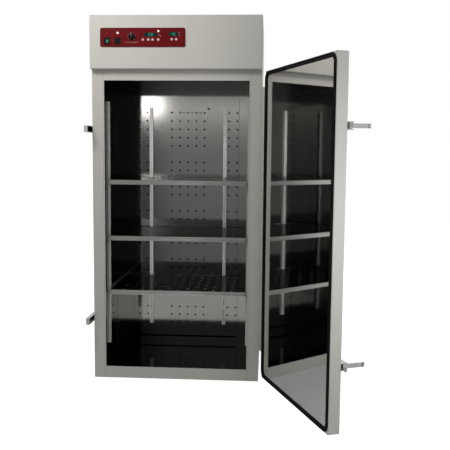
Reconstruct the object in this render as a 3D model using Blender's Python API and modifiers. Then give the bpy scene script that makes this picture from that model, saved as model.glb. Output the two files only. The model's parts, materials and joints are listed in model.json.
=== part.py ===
"""Laboratory incubator with a full-height hinged door, three sliding shelves and a control header."""
import math

import bpy
import bmesh
from mathutils import Matrix, Vector

# ---- driving dimensions, in metres ----
GAP = 0.0003                 # clearance between neighbouring pieces
SHEET = 0.0012               # steel sheet thickness
PLATE = 0.0015               # front frame plate thickness
HALF_WIDTH = 0.460           # cabinet half width
DEPTH = 0.700                # cabinet depth
BODY_HEIGHT = 1.7045         # cabinet height below the header
HEADER_TOP = 1.9865
HEADER_REACH = 0.046         # how far the header stands out in front
HEADER_ROUND = 0.007         # rounding of the header's front edges
OPENING_HALF = 0.3937        # chamber half width
FLOOR_Z = 0.065              # chamber floor
CEILING_Z = 1.649            # chamber ceiling
BACK_Y = 0.632               # chamber rear liner
DUCT_Y = 0.572               # front face of the air duct panel
SHELF_TOPS = (0.494, 0.7985, 1.1105)
SHELF_FRONT = 0.040
SHELF_BACK = 0.548
SHELF_HALF = 0.380
LIP_HALF = 0.389
LIP_DROP = 0.025
UPRIGHT_LOW = 0.181          # slotted shelf uprights
UPRIGHT_HIGH = 1.541
UPRIGHT_WIDTH = 0.020
UPRIGHT_DEPTH = 0.010
REAR_UPRIGHT_X = 0.2295
FRONT_UPRIGHT_Y = 0.082
FAN_Z = 1.47
PROBE_AT = (0.1255, 1.533)
INLET_AT = (-0.330, 1.780)   # mains inlet on the rear

HINGE_X = 0.4675
HINGE_Y = -0.0093
HINGE_RADIUS = 0.006
PIN_RADIUS = 0.0025
BORE_RADIUS = 0.0026
HINGE_LOW = 0.180
HINGE_HIGH = 1.615
KNUCKLE_LOW = 0.205          # where the door's long knuckle starts
KNUCKLE_HIGH = 1.523         # and ends
DOOR_OPEN = math.radians(110.7)
DOOR_LEFT = -0.419           # door edges when shut
DOOR_RIGHT = 0.431
DOOR_LOW = 0.042
DOOR_HIGH = 1.694
DOOR_INNER = -0.0095
DOOR_OUTER = -0.0633
DOOR_CORNER = 0.005
GASKET_INSET = 0.0025
GASKET_WIDTH = 0.020
GASKET_CORNER = 0.045
GASKET_FACE = -0.001

LATCH_HEIGHTS = {"upper": 1.386, "lower": 0.342}
LEVER_X = -0.395
LEVER_Y = -0.0852
HUB_RADIUS = 0.0099
LEVER_OPEN = math.radians(-90)
LEVER_REACH = 0.100
BOLT_TIP = -0.452
BOLT_END = -0.375
KEEPER_OUTER = -0.480
KEEPER_INNER = -0.4605
KEEPER_FRONT = -0.105
KEEPER_BACK = 0.080
KEEPER_HALF = 0.0175

FACIA_Y = -0.0463            # rear face of the red control panel
PANEL_FRONT = -0.0503
PANEL_LEFT = -0.4016
PANEL_RIGHT = 0.0535
PANEL_LOW = 1.8184
PANEL_HIGH = 1.9182
PANEL_CORNER = 0.010
KNOB_AT = (-0.2325, 1.8729)
KNOB_RADIUS = 0.0165
ROCKERS = {"rocker_power": (-0.3635, 1.8496), "rocker_light": (-0.3071, 1.8496)}
ROCKER_RADIUS = 0.0130
ROCKER_HALF = 0.0090
ROCKER_Y = -0.0475
ROCKER_TILT = math.radians(9)
LAMPS = {"lamp_alarm": (-0.3642, 1.8917), "lamp_power": (-0.3068, 1.8917)}
LAMP_RADIUS = 0.0055
DISPLAYS = {"display_chamber": (-0.1321, 1.8826, 0.034, 0.0095),
            "display_limit": (-0.0098, 1.8851, 0.023, 0.0105)}
BUTTONS = ((-0.1722, 1.8570), (-0.1434, 1.8570), (-0.1210, 1.8570),
           (-0.0906, 1.8570), (-0.0188, 1.8587), (0.0050, 1.8587))
BUTTON_RADIUS = 0.0045

# ---- colours: base colour, roughness, metallic ----
PAINT = ((0.60, 0.59, 0.56), 0.42, 0.0)
STAINLESS = ((0.62, 0.62, 0.61), 0.30, 1.0)
MIRROR = ((0.72, 0.72, 0.72), 0.08, 1.0)
CHROME = ((0.66, 0.66, 0.66), 0.16, 1.0)
FOAM = ((0.80, 0.72, 0.50), 0.95, 0.0)
RUBBER = ((0.02, 0.02, 0.02), 0.60, 0.0)
RED = ((0.58, 0.03, 0.05), 0.35, 0.0)
BLACK = ((0.015, 0.015, 0.015), 0.35, 0.0)
GREEN = ((0.02, 0.40, 0.12), 0.30, 0.0)
WINDOW = ((0.02, 0.05, 0.03), 0.12, 0.0)
LAMP_RED = ((0.70, 0.02, 0.02), 0.20, 0.0)
LAMP_WHITE = ((0.85, 0.85, 0.80), 0.25, 0.0)
PALE = ((0.78, 0.66, 0.64), 0.35, 0.0)
BOARD = ((0.02, 0.22, 0.08), 0.50, 0.0)
HEATER = ((0.30, 0.28, 0.26), 0.45, 1.0)
CAST = ((0.60, 0.60, 0.60), 0.45, 1.0)


def clear_scene():
    for obj in list(bpy.data.objects):
        bpy.data.objects.remove(obj, do_unlink=True)


def new_collection(name):
    collection = bpy.data.collections.new(name)
    bpy.context.scene.collection.children.link(collection)
    return collection


clear_scene()
incubator = new_collection("incubator")
cutters = new_collection("cutters")
origins = {}
FRAME_ORIGIN = Vector((0.0, DEPTH / 2, 0.0))   # sizes below count Y from the front plate; this is Y = 0


def make_material(name, look):
    colour, roughness, metallic = look
    material = bpy.data.materials.new(name)
    material.use_nodes = True
    shader = material.node_tree.nodes["Principled BSDF"]
    shader.inputs["Base Color"].default_value = (*colour, 1.0)
    shader.inputs["Roughness"].default_value = roughness
    shader.inputs["Metallic"].default_value = metallic
    return material


def make_object(name, bm, look=None, origin=(0, 0, 0), parent=None):
    """Turn a bmesh drawn in place into an object whose origin is at the given point."""
    origin = Vector(origin)
    bmesh.ops.recalc_face_normals(bm, faces=bm.faces)
    bmesh.ops.translate(bm, vec=-origin, verts=bm.verts)
    mesh = bpy.data.meshes.new(name)
    bm.to_mesh(mesh)
    bm.free()
    obj = bpy.data.objects.new(name, mesh)
    if look is None:
        cutters.objects.link(obj)
        obj.hide_render = True
        obj.display_type = "WIRE"
    else:
        incubator.objects.link(obj)
        mesh.materials.append(make_material(name, look))
    base = FRAME_ORIGIN
    if parent is not None:
        obj.parent = parent
        base = origins[parent.name]
    obj.location = origin - base
    origins[obj.name] = origin
    return obj


def make_pivot(name, origin, parent=None, turn=0.0):
    pivot = bpy.data.objects.new(name, None)
    incubator.objects.link(pivot)
    base = FRAME_ORIGIN
    if parent is not None:
        pivot.parent = parent
        base = origins[parent.name]
    origins[name] = Vector(origin)
    pivot.location = origins[name] - base
    pivot.rotation_euler = (0, 0, turn)
    pivot.empty_display_size = 0.03
    return pivot


def box_mesh(low, high):
    bm = bmesh.new()
    bmesh.ops.create_cube(bm, size=1.0)
    low = Vector(low)
    high = Vector(high)
    size = high - low
    bmesh.ops.scale(bm, vec=size, verts=bm.verts)
    bmesh.ops.translate(bm, vec=(low + high) / 2, verts=bm.verts)
    return bm


def prism_mesh(outline, start, end, axis):
    """Extrude a closed outline along X, Y or Z; the outline gives the other two coordinates."""
    bm = bmesh.new()
    corners = []
    for a, b in outline:
        if axis == "x":
            corners.append(bm.verts.new((start, a, b)))
        elif axis == "y":
            corners.append(bm.verts.new((a, start, b)))
        else:
            corners.append(bm.verts.new((a, b, start)))
    face = bm.faces.new(corners)
    moved = bmesh.ops.extrude_face_region(bm, geom=[face])
    step = {"x": (end - start, 0, 0), "y": (0, end - start, 0), "z": (0, 0, end - start)}[axis]
    verts = [item for item in moved["geom"] if isinstance(item, bmesh.types.BMVert)]
    bmesh.ops.translate(bm, vec=step, verts=verts)
    return bm


def rounded_outline(x0, x1, z0, z1, radius, steps=6):
    points = []
    corners = ((x1 - radius, z1 - radius, 0), (x0 + radius, z1 - radius, 90),
               (x0 + radius, z0 + radius, 180), (x1 - radius, z0 + radius, 270))
    for cx, cz, first in corners:
        for step in range(steps + 1):
            angle = math.radians(first + 90 * step / steps)
            points.append((cx + radius * math.cos(angle), cz + radius * math.sin(angle)))
    return points


def rod_mesh(centre, radius, length, axis, segments=24):
    """A cylinder centred on a point, along X, Y or Z."""
    bm = bmesh.new()
    bmesh.ops.create_cone(bm, cap_ends=True, segments=segments, radius1=radius,
                          radius2=radius, depth=length)
    for face in bm.faces:
        face.smooth = len(face.verts) == 4
    turn = {"x": Matrix.Rotation(math.pi / 2, 3, "Y"), "y": Matrix.Rotation(math.pi / 2, 3, "X"),
            "z": Matrix.Identity(3)}[axis]
    bmesh.ops.rotate(bm, verts=bm.verts, cent=(0, 0, 0), matrix=turn)
    bmesh.ops.translate(bm, vec=centre, verts=bm.verts)
    return bm


def add_bevel(obj, width, segments=2):
    bevel = obj.modifiers.new("bevel", "BEVEL")
    bevel.width = width
    bevel.segments = segments
    bevel.limit_method = "ANGLE"
    bevel.angle_limit = math.radians(40)


def combine(obj, tool, operation):
    boolean = obj.modifiers.new(operation.lower(), "BOOLEAN")
    boolean.operation = operation
    boolean.solver = "EXACT"
    boolean.object = tool


def make_box(name, low, high, look, bevel=0.0, **where):
    obj = make_object(name, box_mesh(low, high), look, **where)
    if bevel:
        add_bevel(obj, bevel)
    return obj


def cut_box(obj, low, high, **where):
    tool = make_object(obj.name + "_cut", box_mesh(low, high), **where)
    combine(obj, tool, "DIFFERENCE")


def join_box(obj, low, high, **where):
    tool = make_object(obj.name + "_join", box_mesh(low, high), **where)
    combine(obj, tool, "UNION")


def cut_rod(obj, centre, radius, length, axis, segments=24, **where):
    tool = make_object(obj.name + "_bore", rod_mesh(centre, radius, length, axis, segments), **where)
    combine(obj, tool, "DIFFERENCE")


def join_rod(obj, centre, radius, length, axis, segments=24, **where):
    tool = make_object(obj.name + "_rod", rod_mesh(centre, radius, length, axis, segments), **where)
    combine(obj, tool, "UNION")


def open_box(name, low, high, missing, thickness, look, bevel=0.0, segments=2, **where):
    """A folded sheet: a box without the faces that look along the missing directions."""
    bm = box_mesh(low, high)
    if bevel:
        bmesh.ops.bevel(bm, geom=list(bm.edges), offset=bevel, segments=segments, profile=0.5,
                        affect="EDGES")
    doomed = []
    for direction in missing:
        direction = Vector(direction)
        reach = max(face.calc_center_median().dot(direction) for face in bm.faces)
        for face in bm.faces:
            if face.calc_center_median().dot(direction) > reach - bevel - 1e-6:
                if bevel == 0.0 or face.normal.dot(direction) > 0.01:
                    doomed.append(face)
    bmesh.ops.delete(bm, geom=list(set(doomed)), context="FACES")
    obj = make_object(name, bm, look, **where)
    shell = obj.modifiers.new("solidify", "SOLIDIFY")
    shell.thickness = thickness
    shell.offset = -1.0
    shell.use_even_offset = True
    return obj


# ---- cabinet outer panels ----
def build_outer():
    for name, side in (("side_panel_left", -1), ("side_panel_right", 1)):
        xs = sorted((side * HALF_WIDTH, side * (HALF_WIDTH - SHEET)))
        make_box(name, (xs[0], PLATE + GAP, PLATE + GAP),
                 (xs[1], DEPTH - PLATE, BODY_HEIGHT - PLATE - 2 * GAP), PAINT, 0.0004)
    inner = HALF_WIDTH - SHEET - GAP
    make_box("back_panel", (-inner, DEPTH - SHEET, PLATE + GAP),
             (inner, DEPTH, BODY_HEIGHT - PLATE - 2 * GAP), PAINT, 0.0004)
    make_box("base_panel", (-HALF_WIDTH, PLATE + GAP, 0.0), (HALF_WIDTH, DEPTH, PLATE), PAINT, 0.0004)
    make_box("top_panel", (-HALF_WIDTH, PLATE + GAP, BODY_HEIGHT - PLATE - GAP),
             (HALF_WIDTH, DEPTH, BODY_HEIGHT - GAP), PAINT, 0.0004)


def build_front_frame():
    top = BODY_HEIGHT - GAP
    for name, side in (("stile_left", -1), ("stile_right", 1)):
        xs = sorted((side * HALF_WIDTH, side * OPENING_HALF))
        make_box(name, (xs[0], 0.0, 0.0), (xs[1], PLATE, top), PAINT, 0.0005)
    edge = OPENING_HALF - GAP
    make_box("rail_bottom", (-edge, 0.0, 0.0), (edge, PLATE, FLOOR_Z), PAINT, 0.0005)
    make_box("rail_top", (-edge, 0.0, CEILING_Z), (edge, PLATE, top), PAINT, 0.0005)


def build_liner():
    front = PLATE + GAP
    outer = OPENING_HALF + SHEET
    for name, side in (("liner_left", -1), ("liner_right", 1)):
        xs = sorted((side * OPENING_HALF, side * outer))
        make_box(name, (xs[0], front, FLOOR_Z + GAP), (xs[1], BACK_Y, CEILING_Z - GAP), STAINLESS)
    make_box("liner_floor", (-outer, front, FLOOR_Z - SHEET), (outer, BACK_Y, FLOOR_Z), STAINLESS)
    make_box("liner_ceiling", (-outer, front, CEILING_Z), (outer, BACK_Y, CEILING_Z + SHEET), STAINLESS)
    back = make_box("liner_back", (-outer, BACK_Y + GAP, FLOOR_Z - SHEET),
                    (outer, BACK_Y + GAP + SHEET, CEILING_Z + SHEET), STAINLESS)
    cut_rod(back, (0, BACK_Y, FAN_Z), 0.0105, 0.02, "y")
    probe_x, probe_z = PROBE_AT
    cut_rod(back, (probe_x, BACK_Y, probe_z), 0.0040, 0.02, "y", 16)


def build_insulation():
    wall = HALF_WIDTH - SHEET - GAP
    block = make_object("insulation", box_mesh((-wall, PLATE + GAP, PLATE + GAP),
                        (wall, DEPTH - SHEET - GAP, BODY_HEIGHT - PLATE - 2 * GAP)), FOAM)
    room = OPENING_HALF + SHEET + GAP
    cut_box(block, (-room, -0.05, FLOOR_Z - SHEET - GAP),
            (room, BACK_Y + 2 * GAP + SHEET, CEILING_Z + SHEET + GAP))
    cut_rod(block, (0, DEPTH - 0.02, FAN_Z), 0.0435, 0.20, "y", 32)


# ---- air circulation ----
def build_air_path():
    width = OPENING_HALF - GAP
    duct = make_box("duct_panel", (-width, DUCT_Y, FLOOR_Z + GAP),
                    (width, DUCT_Y + SHEET, CEILING_Z - GAP), STAINLESS)
    cut_box(duct, (-0.305, DUCT_Y - 0.01, 0.095), (0.305, DUCT_Y + 0.01, 0.103))
    probe_x, probe_z = PROBE_AT
    cut_rod(duct, (probe_x, DUCT_Y, probe_z), 0.0034, 0.02, "y", 16)
    probe = make_object("temperature_probe",
                        rod_mesh((probe_x, 0.589, probe_z), 0.0030, 0.088, "y", 16), CHROME)
    add_bevel(probe, 0.0008)

    motor = make_object("fan_motor", rod_mesh((0, 0.6665, FAN_Z), 0.042, 0.058, "y", 32), CAST)
    add_bevel(motor, 0.003)
    join_rod(motor, (0, 0.634, FAN_Z), 0.0095, 0.012, "y")
    join_rod(motor, (0, 0.612, FAN_Z), 0.0040, 0.044, "y")
    hub_at = (0, 0.606, FAN_Z)
    wheel = make_object("fan_wheel", rod_mesh((0, 0.619, FAN_Z), 0.075, 0.002, "y", 40), CAST,
                        origin=hub_at)
    join_rod(wheel, (0, 0.606, FAN_Z), 0.012, 0.028, "y")
    for index in range(10):
        blade = box_mesh((0.045, 0.592, FAN_Z - 0.0008), (0.072, 0.6195, FAN_Z + 0.0008))
        turn = Matrix.Rotation(2 * math.pi * index / 10, 3, "Y")
        bmesh.ops.rotate(blade, verts=blade.verts, cent=(0, 0, FAN_Z), matrix=turn)
        combine(wheel, make_object("fan_blade_%d" % index, blade), "UNION")
    cut_rod(wheel, (0, 0.606, FAN_Z), 0.0041, 0.060, "y")


def build_heater():
    """A tube bent into a flat serpentine behind the duct panel."""
    path = []
    half = 0.24
    bend = 0.022
    first = 0.20
    for row in range(4):
        z = first + row * 2 * bend
        ends = (-half, half) if row % 2 == 0 else (half, -half)
        path.append((ends[0], z))
        path.append((ends[1], z))
        if row < 3:
            side = 1 if ends[1] > 0 else -1
            for step in range(1, 8):
                angle = math.radians(-90 + 180 * step / 8)
                path.append((ends[1] + side * bend * math.cos(angle), z + bend + bend * math.sin(angle)))
    curve = bpy.data.curves.new("heater_path", "CURVE")
    curve.dimensions = "3D"
    curve.bevel_depth = 0.004
    curve.bevel_resolution = 1
    curve.use_fill_caps = True
    spline = curve.splines.new("POLY")
    spline.points.add(len(path) - 1)
    for point, (x, z) in zip(spline.points, path):
        point.co = (x, 0.603, z, 1.0)
    source = bpy.data.objects.new("heater_path", curve)
    cutters.objects.link(source)
    source.hide_render = True
    bpy.context.view_layer.update()
    mesh = bpy.data.meshes.new_from_object(source)
    bpy.data.objects.remove(source)
    bm = bmesh.new()
    bm.from_mesh(mesh)
    bmesh.ops.remove_doubles(bm, verts=bm.verts, dist=0.00001)
    heater = make_object("heater", bm, HEATER)
    for polygon in heater.data.polygons:
        polygon.use_smooth = True


# ---- shelves and their uprights ----
def build_uprights():
    half = UPRIGHT_WIDTH / 2
    for name, x in (("upright_rear_left", -REAR_UPRIGHT_X), ("upright_rear_right", REAR_UPRIGHT_X)):
        open_box(name, (x - half, DUCT_Y - GAP - UPRIGHT_DEPTH, UPRIGHT_LOW),
                 (x + half, DUCT_Y - GAP, UPRIGHT_HIGH), ((0, 1, 0),), PLATE, STAINLESS)
    wall = OPENING_HALF - GAP
    for name, side in (("upright_front_left", -1), ("upright_front_right", 1)):
        xs = sorted((side * wall, side * (wall - UPRIGHT_DEPTH)))
        open_box(name, (xs[0], FRONT_UPRIGHT_Y - half, UPRIGHT_LOW),
                 (xs[1], FRONT_UPRIGHT_Y + half, UPRIGHT_HIGH), ((side, 0, 0),), PLATE, STAINLESS)


def build_shelf(name, top):
    shelf = make_box(name, (-SHELF_HALF, SHELF_FRONT + 0.0005, top - PLATE),
                     (SHELF_HALF, SHELF_BACK, top), STAINLESS)
    join_box(shelf, (-LIP_HALF, SHELF_FRONT, top - LIP_DROP), (LIP_HALF, SHELF_FRONT + PLATE, top + 0.0002))
    join_box(shelf, (-LIP_HALF, SHELF_FRONT + 0.0007, top - LIP_DROP),
             (LIP_HALF, SHELF_FRONT + 0.012, top - LIP_DROP + PLATE))
    for side in (-1, 1):
        xs = sorted((side * (SHELF_HALF + 0.0001), side * (SHELF_HALF - PLATE)))
        join_box(shelf, (xs[0], SHELF_FRONT + 0.001, top - 0.014), (xs[1], SHELF_BACK - 0.0003, top - 0.0004))
    join_box(shelf, (-SHELF_HALF + 0.0005, SHELF_BACK - PLATE, top - 0.0142),
             (SHELF_HALF - 0.0005, SHELF_BACK + 0.0001, top - 0.0003))


# ---- header ----
def build_header():
    low = BODY_HEIGHT
    front = open_box("header_front", (-HALF_WIDTH - 0.001, -HEADER_REACH, low),
                     (HALF_WIDTH + 0.001, HEADER_ROUND - 0.0004, HEADER_TOP), ((0, 1, 0),), PLATE,
                     PAINT, bevel=HEADER_ROUND, segments=3)
    for x, z in ROCKERS.values():
        cut_box(front, (x - 0.0098, -0.06, z - 0.0145), (x + 0.0098, -0.03, z + 0.0145))
    open_box("header_cover", (-HALF_WIDTH, 0.0, low),
             (HALF_WIDTH, DEPTH - SHEET - GAP, HEADER_TOP), ((0, 1, 0), (0, -1, 0), (0, 0, -1)),
             SHEET, PAINT)
    make_box("header_rear", (-HALF_WIDTH, DEPTH - SHEET, low), (HALF_WIDTH, DEPTH, HEADER_TOP),
             PAINT, 0.0004)
    inlet_x, inlet_z = INLET_AT
    inlet = make_box("power_inlet", (inlet_x - 0.024, DEPTH + GAP, inlet_z - 0.016),
                     (inlet_x + 0.024, DEPTH + 0.014, inlet_z + 0.016), BLACK, 0.0015)
    cut_box(inlet, (inlet_x - 0.0135, DEPTH + 0.004, inlet_z - 0.0095),
            (inlet_x + 0.0135, DEPTH + 0.030, inlet_z + 0.0095))
    make_box("control_board", (-0.300, -0.0250, 1.800), (0.000, -0.0234, 1.930), BOARD)


def build_controls():
    outline = rounded_outline(PANEL_LEFT, PANEL_RIGHT, PANEL_LOW, PANEL_HIGH, PANEL_CORNER)
    panel = make_object("control_panel", prism_mesh(outline, PANEL_FRONT, FACIA_Y, "y"), RED)
    through = 0.02
    for x, z in ROCKERS.values():
        cut_box(panel, (x - 0.0094, PANEL_FRONT - through, z - 0.0134),
                (x + 0.0094, PANEL_FRONT + through, z + 0.0134))
    for x, z, half, tall in DISPLAYS.values():
        cut_box(panel, (x - half - GAP, PANEL_FRONT - through, z - tall - GAP),
                (x + half + GAP, PANEL_FRONT + through, z + tall + GAP))
    for x, z in LAMPS.values():
        cut_rod(panel, (x, PANEL_FRONT, z), LAMP_RADIUS + GAP, 2 * through, "y")
    for x, z in BUTTONS:
        cut_rod(panel, (x, PANEL_FRONT, z), BUTTON_RADIUS + GAP, 2 * through, "y")
    knob_x, knob_z = KNOB_AT
    cut_rod(panel, (knob_x, PANEL_FRONT, knob_z), 0.0034, 2 * through, "y", 16)

    for name, (x, z, half, tall) in DISPLAYS.items():
        make_box(name, (x - half, PANEL_FRONT + 0.0004, z - tall), (x + half, FACIA_Y, z + tall), WINDOW)
    for name, (x, z) in LAMPS.items():
        look = LAMP_RED if name == "lamp_alarm" else LAMP_WHITE
        lamp = make_object(name, rod_mesh((x, PANEL_FRONT + 0.0005, z), LAMP_RADIUS, 0.0068, "y"), look)
        add_bevel(lamp, 0.0015, 3)
    for index, (x, z) in enumerate(BUTTONS):
        centre = (x, PANEL_FRONT + 0.00025, z)
        button = make_object("button_%d" % (index + 1), rod_mesh(centre, BUTTON_RADIUS, 0.0045, "y"),
                             PALE, origin=centre)
        add_bevel(button, 0.0006)

    knob_at = (knob_x, PANEL_FRONT - GAP, knob_z)
    knob = make_object("control_knob",
                       rod_mesh((knob_x, PANEL_FRONT - GAP - 0.008, knob_z), KNOB_RADIUS, 0.016, "y", 40),
                       BLACK, origin=knob_at)
    add_bevel(knob, 0.0015)
    join_box(knob, (knob_x - 0.0030, PANEL_FRONT - GAP - 0.0195, knob_z - 0.016),
             (knob_x + 0.0030, PANEL_FRONT - GAP - 0.012, knob_z + 0.016))
    join_rod(knob, (knob_x, PANEL_FRONT + 0.0005, knob_z), 0.0030, 0.006, "y", 16)

    for name, (x, z) in ROCKERS.items():
        outline = [(ROCKER_Y + y, z + height) for y, height in rocker_profile()]
        rocker = make_object(name, prism_mesh(outline, x - ROCKER_HALF, x + ROCKER_HALF, "x"),
                             GREEN if name == "rocker_power" else BLACK, origin=(x, ROCKER_Y, z))
        rocker.rotation_euler = (ROCKER_TILT, 0, 0)
        add_bevel(rocker, 0.0004)


def rocker_profile():
    """Half-moon ends about the pivot, a shallow V in front and a flat rear."""
    points = [(-0.0034, 0.0)]
    for degrees in (112, 102, 92, 82, 72):
        angle = math.radians(degrees)
        points.append((ROCKER_RADIUS * math.cos(angle), ROCKER_RADIUS * math.sin(angle)))
    for degrees in (-72, -82, -92, -102, -112):
        angle = math.radians(degrees)
        points.append((ROCKER_RADIUS * math.cos(angle), ROCKER_RADIUS * math.sin(angle)))
    return points


# ---- hinge ----
def build_fixed_hinge():
    middle = (HINGE_LOW + HINGE_HIGH) / 2
    length = HINGE_HIGH - HINGE_LOW
    leaf = make_box("hinge_leaf_cabinet", (HALF_WIDTH + GAP, 0.001, HINGE_LOW),
                    (HALF_WIDTH + GAP + 0.003, 0.045, HINGE_HIGH), PAINT)
    spans = ((HINGE_LOW, KNUCKLE_LOW - GAP), (KNUCKLE_HIGH + GAP, HINGE_HIGH))
    for low, high in spans:
        join_box(leaf, (HALF_WIDTH + GAP + 0.0002, HINGE_Y, low), (HINGE_X, 0.004, high))
        join_rod(leaf, (HINGE_X, HINGE_Y, (low + high) / 2), HINGE_RADIUS, high - low, "z")
    join_rod(leaf, (HINGE_X, HINGE_Y, middle), PIN_RADIUS, length - 0.002, "z")


def build_door(door_pivot):
    where = {"parent": door_pivot}
    origin = (HINGE_X, HINGE_Y, 0.0)

    outline = rounded_outline(DOOR_LEFT, DOOR_RIGHT, DOOR_LOW, DOOR_HIGH, DOOR_CORNER)
    bm = prism_mesh(outline, DOOR_OUTER, DOOR_INNER, "y")
    front = [edge for edge in bm.edges if all(v.co.y < DOOR_OUTER + 1e-6 for v in edge.verts)]
    bmesh.ops.bevel(bm, geom=front, offset=0.004, segments=2, profile=0.5, affect="EDGES")
    open_side = [face for face in bm.faces if all(v.co.y > DOOR_INNER - 1e-6 for v in face.verts)]
    bmesh.ops.delete(bm, geom=open_side, context="FACES")
    shell = make_object("door_shell", bm, PAINT, origin=origin, **where)
    thicken = shell.modifiers.new("solidify", "SOLIDIFY")
    thicken.thickness = SHEET
    thicken.offset = -1.0
    thicken.use_even_offset = True

    inset = SHEET + 2 * GAP
    outline = rounded_outline(DOOR_LEFT + inset, DOOR_RIGHT - inset, DOOR_LOW + inset,
                              DOOR_HIGH - inset, DOOR_CORNER - 0.001)
    make_object("door_insulation", prism_mesh(outline, DOOR_OUTER + 0.0035, DOOR_INNER, "y"), FOAM,
                origin=origin, **where)

    outline = rounded_outline(DOOR_LEFT + GAP, DOOR_RIGHT - GAP, DOOR_LOW + GAP, DOOR_HIGH - GAP,
                              DOOR_CORNER)
    make_object("door_liner", prism_mesh(outline, DOOR_INNER + GAP, DOOR_INNER + GAP + SHEET, "y"),
                MIRROR, origin=origin, **where)

    x0 = DOOR_LEFT + GASKET_INSET
    x1 = DOOR_RIGHT - GASKET_INSET
    z0 = DOOR_LOW + GASKET_INSET
    z1 = DOOR_HIGH - GASKET_INSET
    seat = DOOR_INNER + 2 * GAP + SHEET
    outline = rounded_outline(x0, x1, z0, z1, GASKET_CORNER)
    gasket = make_object("door_gasket", prism_mesh(outline, seat, GASKET_FACE, "y"), RUBBER,
                         origin=origin, **where)
    w = GASKET_WIDTH
    outline = rounded_outline(x0 + w, x1 - w, z0 + w, z1 - w, GASKET_CORNER - w)
    hole = make_object("gasket_cut", prism_mesh(outline, seat - 0.01, GASKET_FACE + 0.01, "y"),
                       origin=origin, **where)
    combine(gasket, hole, "DIFFERENCE")

    edge = DOOR_RIGHT + GAP
    folded = ((edge, -0.0600), (edge + 0.002, -0.0600), (edge + 0.002, -0.0113), (0.4600, -0.0113),
              (0.4600, -0.0083), (edge, -0.0083))
    leaf = make_object("hinge_leaf_door", prism_mesh(folded, HINGE_LOW, HINGE_HIGH, "z"), PAINT,
                       origin=origin, **where)
    join_box(leaf, (0.4550, -0.0106, KNUCKLE_LOW), (HINGE_X, -0.0090, KNUCKLE_HIGH),
             origin=origin, **where)
    middle = (KNUCKLE_LOW + KNUCKLE_HIGH) / 2
    length = KNUCKLE_HIGH - KNUCKLE_LOW
    join_rod(leaf, (HINGE_X, HINGE_Y, middle), HINGE_RADIUS, length, "z", origin=origin, **where)
    cut_rod(leaf, (HINGE_X, HINGE_Y, middle), BORE_RADIUS, length + 0.4, "z", origin=origin, **where)


# ---- latches ----
def build_latch(place, z, door_pivot):
    where = {"parent": door_pivot, "origin": (LEVER_X, LEVER_Y, z)}
    face = DOOR_OUTER - GAP
    body = make_box("latch_body_" + place, (-0.415, face - 0.003, z - KEEPER_HALF),
                    (-0.350, face, z + KEEPER_HALF), CHROME, **where)
    for low, high in ((z - KEEPER_HALF, z - 0.0135), (z + 0.0135, z + KEEPER_HALF)):
        join_box(body, (-0.4148, face - 0.0310, low), (-0.3502, face - 0.0005, high), **where)
    add_bevel(body, 0.0010)

    make_box("latch_bolt_" + place, (BOLT_TIP, LEVER_Y + HUB_RADIUS + GAP, z - 0.012),
             (BOLT_END, LEVER_Y + HUB_RADIUS + GAP + 0.0080, z + 0.012), CHROME, 0.0015,
             parent=door_pivot, origin=(BOLT_TIP, LEVER_Y + HUB_RADIUS + GAP, z))

    pivot = make_pivot("lever_pivot_" + place, (LEVER_X, LEVER_Y, z), door_pivot, LEVER_OPEN)
    bar_back = LEVER_Y - HUB_RADIUS + 0.008
    bar_front = LEVER_Y - HUB_RADIUS
    reach = LEVER_X + LEVER_REACH
    outline = ((LEVER_X - 0.002, bar_front), (reach - 0.012, bar_front + 0.0005),
               (reach, bar_front + 0.0055), (reach - 0.003, bar_front + 0.0120),
               (reach - 0.014, bar_front + 0.0080), (LEVER_X + 0.012, bar_back + 0.0015),
               (LEVER_X - 0.002, LEVER_Y + 0.002))
    lever = make_object("latch_lever_" + place, prism_mesh(outline, z - 0.010, z + 0.010, "z"), CHROME,
                        parent=pivot, origin=(LEVER_X, LEVER_Y, z))
    join_rod(lever, (LEVER_X, LEVER_Y, z), HUB_RADIUS, 0.0264, "z", 28,
             parent=pivot, origin=(LEVER_X, LEVER_Y, z))
    add_bevel(lever, 0.0010)

    open_box("keeper_" + place, (KEEPER_OUTER, KEEPER_FRONT, z - KEEPER_HALF),
             (KEEPER_INNER, KEEPER_BACK, z + KEEPER_HALF), ((1, 0, 0),), 0.0025, PAINT)


build_outer()
build_front_frame()
build_liner()
build_insulation()
build_air_path()
build_heater()
build_uprights()
for number, shelf_top in enumerate(SHELF_TOPS):
    build_shelf("shelf_%d" % (number + 1), shelf_top)
build_header()
build_controls()
build_fixed_hinge()
hinge = make_pivot("door_pivot", (HINGE_X, HINGE_Y, 0.0), turn=DOOR_OPEN)
build_door(hinge)
for latch_place, latch_z in LATCH_HEIGHTS.items():
    build_latch(latch_place, latch_z, hinge)
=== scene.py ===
import json
import math

import bpy
import bmesh
from mathutils import Matrix, Vector


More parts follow.
